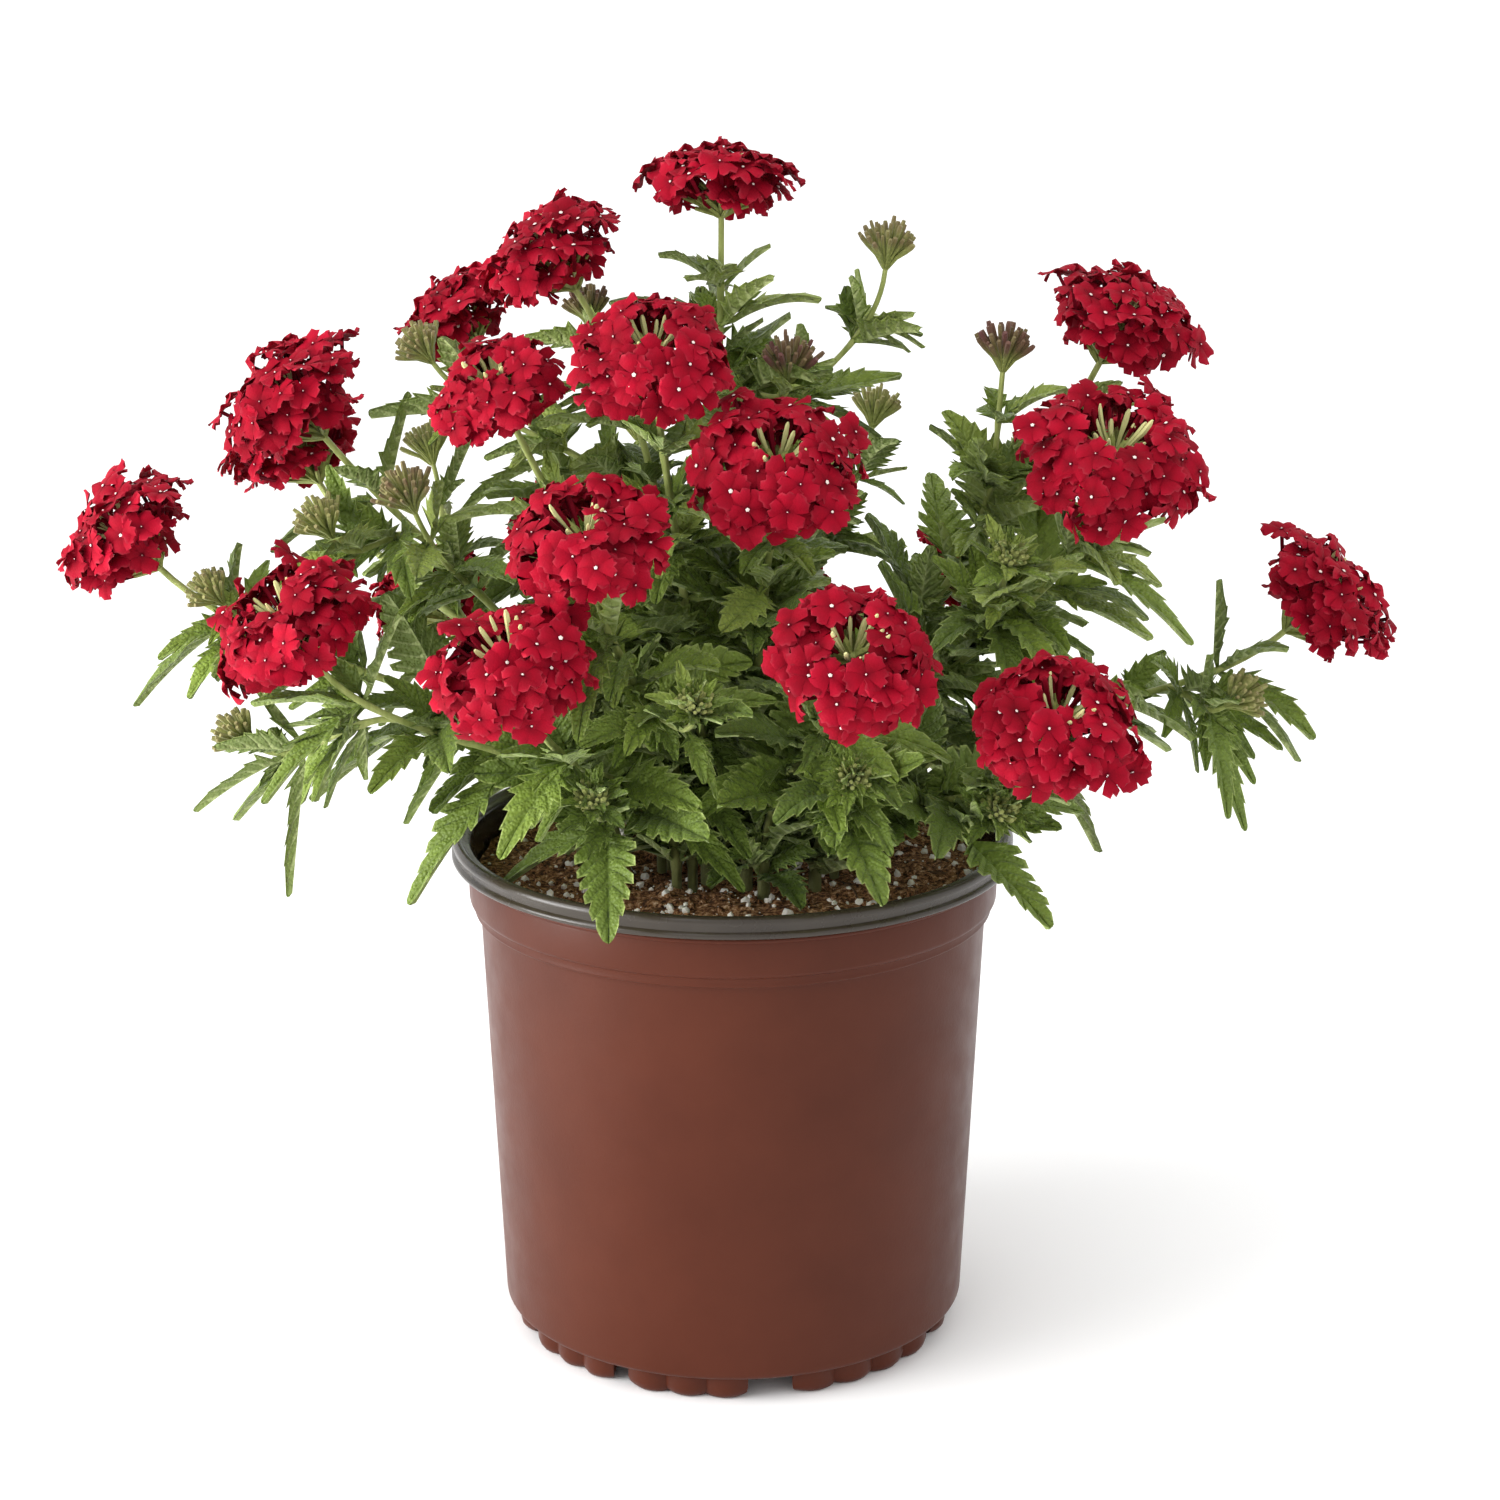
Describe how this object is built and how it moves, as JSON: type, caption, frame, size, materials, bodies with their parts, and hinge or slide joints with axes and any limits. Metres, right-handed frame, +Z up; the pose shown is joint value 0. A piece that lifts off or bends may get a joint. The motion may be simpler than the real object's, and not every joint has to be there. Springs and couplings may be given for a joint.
{
  "type": "potted verbena plant",
  "caption": "Red verbena in flower in a round plastic nursery pot: domed flower heads on thin leafy stems that rise and spread from the soil.",
  "frame": {"origin": "on the pot's axis, at the level of the surface that the pot stands on; the whole plant's footprint is centred there to within 1 mm", "axes": "+Z up along the pot's axis, -Y towards the front in the picture, +X to its right"},
  "size_m": [0.3797, 0.2516, 0.3508],
  "materials": {
    "pot_plastic": "satin brown moulded plastic with a black rim and inside",
    "soil": "loose dark peat with fibres and white perlite grains",
    "foliage": "matte green leaves and stems with fine hairs",
    "petals": "velvety crimson red petals with a small pale eye"
  },
  "bodies": {
    "root": {"pot": "pot_plastic", "soil": "soil", "stem_top": "foliage", "head_top": "petals", "stem_top_left": "foliage", "head_top_left": "petals", "stem_back_left": "foliage", "head_back_left": "petals", "stem_mid_left": "foliage", "head_mid_left": "petals", "stem_upper_front": "foliage", "head_upper_front": "petals", "stem_far_left": "foliage", "head_far_left": "petals", "stem_end_left": "foliage", "head_end_left": "petals", "stem_low_left": "foliage", "head_low_left": "petals", "stem_front": "foliage", "head_front": "petals", "stem_low_front": "foliage", "head_low_front": "petals", "stem_mid_front": "foliage", "head_mid_front": "petals", "stem_low_middle": "foliage", "head_low_middle": "petals", "stem_top_right": "foliage", "head_top_right": "petals", "stem_mid_right": "foliage", "head_mid_right": "petals", "stem_end_right": "foliage", "head_end_right": "petals", "stem_low_right": "foliage", "head_low_right": "petals", "stem_back": "foliage", "head_back": "petals", "stem_back_right": "foliage", "head_back_right": "petals", "stem_low_back_right": "foliage", "head_low_back_right": "petals", "stem_back_middle": "foliage", "head_back_middle": "petals", "stem_low_back": "foliage", "head_low_back": "petals", "stem_back_far_left": "foliage", "head_back_far_left": "petals", "stem_low_back_left": "foliage", "head_low_back_left": "petals"}
  },
  "joints": []
}
